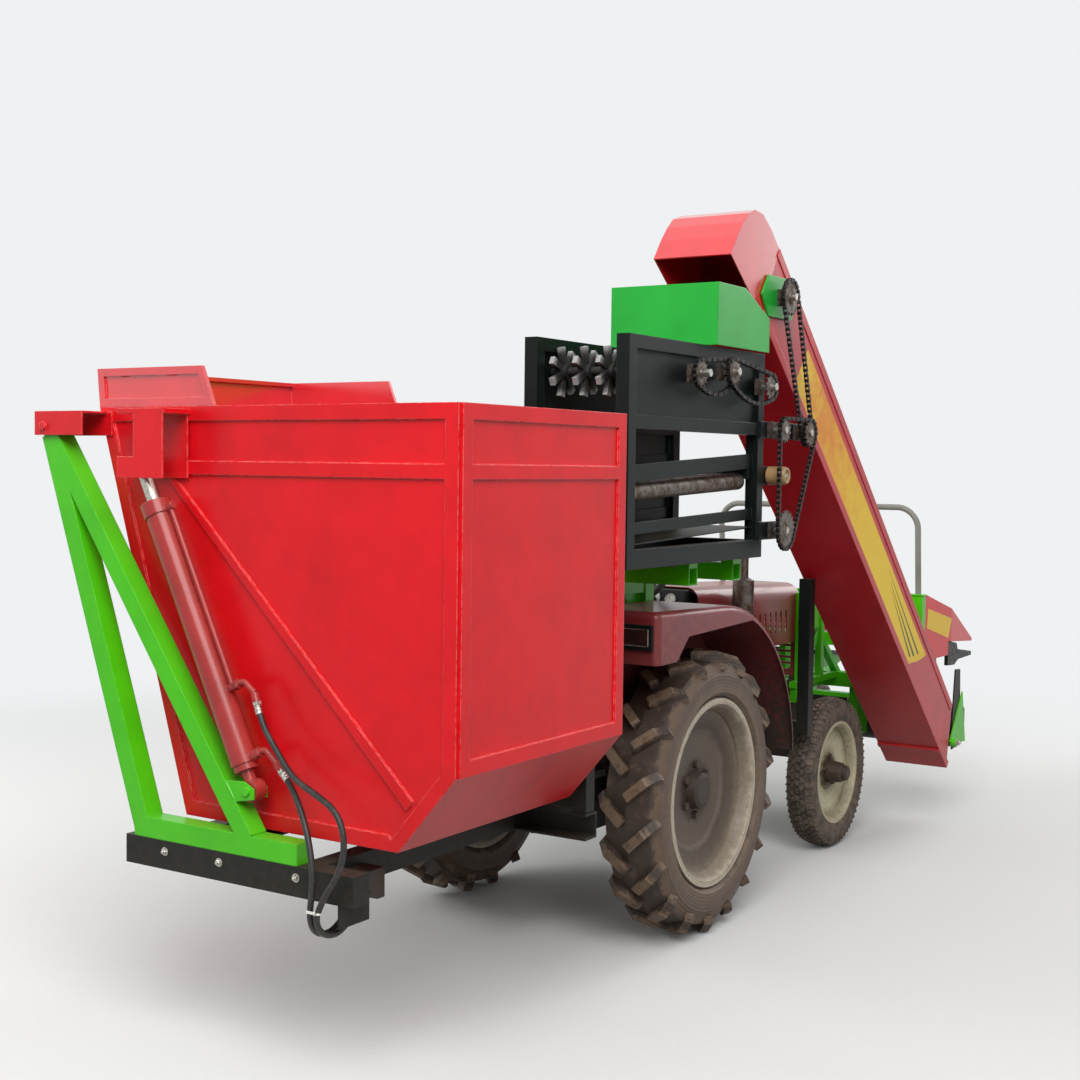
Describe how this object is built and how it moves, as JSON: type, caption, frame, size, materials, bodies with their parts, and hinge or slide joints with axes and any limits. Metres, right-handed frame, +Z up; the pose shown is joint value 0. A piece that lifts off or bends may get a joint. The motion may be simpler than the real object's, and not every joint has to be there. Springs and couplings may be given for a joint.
{
  "type": "tractor-mounted corn harvester",
  "caption": "Small tractor carrying a corn header, side elevator, husking bed and a side-tipping ear bin worked by hydraulic cylinders.",
  "frame": {"origin": "on the ground, under the middle of the overall length and width", "axes": "+X to the right of the machine, +Y forward, +Z up"},
  "size_m": [1.534, 5.0605, 2.515],
  "materials": {
    "cast_grey": "dusty cast iron with old dark paint",
    "tractor_maroon": "faded maroon paint, dusty",
    "lamp_black": "black lamp housing with smoked lens",
    "black_steel": "worn black paint",
    "seat_vinyl": "worn light vinyl",
    "black_green": "semi-gloss black paint",
    "frame_green": "bright green gloss paint",
    "hopper_green": "green gloss paint",
    "casing_red": "red gloss paint",
    "bin_red": "bright red gloss paint",
    "roller_steel": "bare steel, lightly rusted",
    "chain_steel": "oiled chain steel",
    "grey_paint": "grey painted tube",
    "cylinder_maroon": "brown-red primer, oily",
    "rod_chrome": "hard chrome",
    "tyre_rubber": "dusty black rubber",
    "rim_paint": "cream paint, dirty",
    "black_plastic": "black hard plastic",
    "hose_rubber": "black hydraulic hose",
    "star_rubber": "black rubber"
  },
  "bodies": {
    "root": {"tractor_chassis": "cast_grey", "engine_block": "cast_grey", "radiator": "black_steel", "front_frame": "cast_grey", "front_axle_beam": "cast_grey", "bonnet": "tractor_maroon", "grille": "tractor_maroon", "fenders": "tractor_maroon", "tail_lamps": "lamp_black", "footplates": "black_steel", "seat": "seat_vinyl", "seat_post": "black_steel", "steering_column": "black_steel", "exhaust": "black_steel", "base_frame": "black_green", "tipping_stands": "frame_green", "rear_columns": "black_green", "husker_subframe": "frame_green", "husker_frame": "black_green", "husking_rollers": "roller_steel", "hopper": "hopper_green", "elevator_casing": "casing_red", "elevator_hood": "casing_red", "chain_drive": "chain_steel", "hose_block": "cylinder_maroon", "tip_hose_upper": "hose_rubber", "tip_hose_lower": "hose_rubber", "front_carrier": "frame_green", "elevator_post": "black_green"},
    "bin": {"bin_end_rear": "bin_red", "bin_end_front": "bin_red", "bin_shell": "bin_red", "bin_lip": "bin_red", "bin_arms": "bin_red"},
    "tip_barrel_rear": {"tip_barrel_rear": "cylinder_maroon"},
    "tip_rod_rear": {"tip_rod_rear": "rod_chrome"},
    "tip_barrel_front": {"tip_barrel_front": "cylinder_maroon"},
    "tip_rod_front": {"tip_rod_front": "rod_chrome"},
    "header": {"header_frame": "frame_green", "header_trough": "black_green", "dividers": "bin_red", "snapping_rolls": "roller_steel", "gathering_chains": "chain_steel", "guard_hoop": "grey_paint"},
    "auger": {"cross_auger": "roller_steel"},
    "lift_barrel": {"lift_barrel": "cylinder_maroon"},
    "lift_rod": {"lift_rod": "rod_chrome"},
    "knuckle_right": {"knuckle_right": "cast_grey"},
    "rear_wheel_right": {"rear_tyre_right": "tyre_rubber", "rear_rim_right": "rim_paint"},
    "front_wheel_right": {"front_tyre_right": "tyre_rubber", "front_rim_right": "rim_paint"},
    "knuckle_left": {"knuckle_left": "cast_grey"},
    "rear_wheel_left": {"rear_tyre_left": "tyre_rubber", "rear_rim_left": "rim_paint"},
    "front_wheel_left": {"front_tyre_left": "tyre_rubber", "front_rim_left": "rim_paint"},
    "tie_rod": {"tie_rod": "roller_steel"},
    "steering_wheel": {"steering_wheel": "black_plastic"},
    "star_rotor": {"star_shaft": "star_rubber"}
  },
  "joints": [
    {"name": "bin_tip", "type": "hinge", "parent": "root", "child": "bin", "pos_m": [-0.727, -1.9775, 1.735], "axis": [0, -1, 0], "range_deg": [0, 100]},
    {"name": "tip_barrel_swing_rear", "type": "hinge", "parent": "root", "child": "tip_barrel_rear", "pos_m": [0.068, -2.4625, 0.751], "axis": [0, -1, 0], "range_deg": [-1, 4]},
    {"name": "tip_rod_slide_rear", "type": "slide", "parent": "tip_barrel_rear", "child": "tip_rod_rear", "axis": [-0.4414, 0, 0.8973], "range_m": [0, 0.62]},
    {"name": "tip_barrel_swing_front", "type": "hinge", "parent": "root", "child": "tip_barrel_front", "pos_m": [0.068, -1.4935, 0.751], "axis": [0, -1, 0], "range_deg": [-1, 4]},
    {"name": "tip_rod_slide_front", "type": "slide", "parent": "tip_barrel_front", "child": "tip_rod_front", "axis": [-0.4414, 0, 0.8973], "range_m": [0, 0.62]},
    {"name": "header_lift", "type": "hinge", "parent": "root", "child": "header", "pos_m": [-0.005, 1.4925, 0.43], "axis": [1, 0, 0], "range_deg": [-6, 10]},
    {"name": "lift_barrel_swing", "type": "hinge", "parent": "root", "child": "lift_barrel", "pos_m": [-0.005, 1.1225, 0.85], "axis": [1, 0, 0], "range_deg": [-1, 1.5]},
    {"name": "lift_rod_slide", "type": "slide", "parent": "lift_barrel", "child": "lift_rod", "axis": [0, 1, 0], "range_m": [-0.085, 0.055]},
    {"name": "auger_spin", "type": "hinge", "parent": "header", "child": "auger", "pos_m": [-0.005, 1.6775, 0.43], "axis": [1, 0, 0], "continuous": true},
    {"name": "star_spin", "type": "hinge", "parent": "root", "child": "star_rotor", "pos_m": [0.51, -1.4155, 1.93], "axis": [1, 0, 0], "continuous": true},
    {"name": "steer_right", "type": "hinge", "parent": "root", "child": "knuckle_right", "pos_m": [0.291, 0.7855, 0.41], "axis": [0, 0, 1], "range_deg": [-28, 28]},
    {"name": "steer_left", "type": "hinge", "parent": "root", "child": "knuckle_left", "pos_m": [-0.301, 0.7855, 0.41], "axis": [0, 0, 1], "range_deg": [-28, 28]},
    {"name": "tie_rod_pivot", "type": "hinge", "parent": "knuckle_right", "child": "tie_rod", "pos_m": [0.291, 0.6555, 0.454], "axis": [0, 0, 1], "range_deg": [-28, 28]},
    {"name": "steering_wheel_turn", "type": "hinge", "parent": "root", "child": "steering_wheel", "pos_m": [-0.005, -0.2955, 1.249], "axis": [0, -0.7926, 0.6097], "range_deg": [-300, 300]},
    {"name": "rear_wheel_spin_right", "type": "hinge", "parent": "root", "child": "rear_wheel_right", "pos_m": [0.475, -0.6675, 0.5], "axis": [1, 0, 0], "continuous": true},
    {"name": "front_wheel_spin_right", "type": "hinge", "parent": "knuckle_right", "child": "front_wheel_right", "pos_m": [0.395, 0.7855, 0.324], "axis": [1, 0, 0], "continuous": true},
    {"name": "rear_wheel_spin_left", "type": "hinge", "parent": "root", "child": "rear_wheel_left", "pos_m": [-0.485, -0.6675, 0.5], "axis": [1, 0, 0], "continuous": true},
    {"name": "front_wheel_spin_left", "type": "hinge", "parent": "knuckle_left", "child": "front_wheel_left", "pos_m": [-0.405, 0.7855, 0.324], "axis": [1, 0, 0], "continuous": true}
  ],
  "couplings": [
    {"joint": "tip_barrel_swing_rear", "follows": "bin_tip", "ratio": 0.023927},
    {"joint": "tip_rod_slide_rear", "follows": "bin_tip", "m_per_rad": 0.33743},
    {"joint": "tip_barrel_swing_front", "follows": "bin_tip", "ratio": 0.023927},
    {"joint": "tip_rod_slide_front", "follows": "bin_tip", "m_per_rad": 0.33743},
    {"joint": "lift_barrel_swing", "follows": "header_lift", "ratio": 0.09},
    {"joint": "lift_rod_slide", "follows": "header_lift", "m_per_rad": -0.423},
    {"joint": "steer_left", "follows": "steer_right", "ratio": 1},
    {"joint": "tie_rod_pivot", "follows": "steer_right", "ratio": -1},
    {"joint": "steering_wheel_turn", "follows": "steer_right", "ratio": 10}
  ]
}
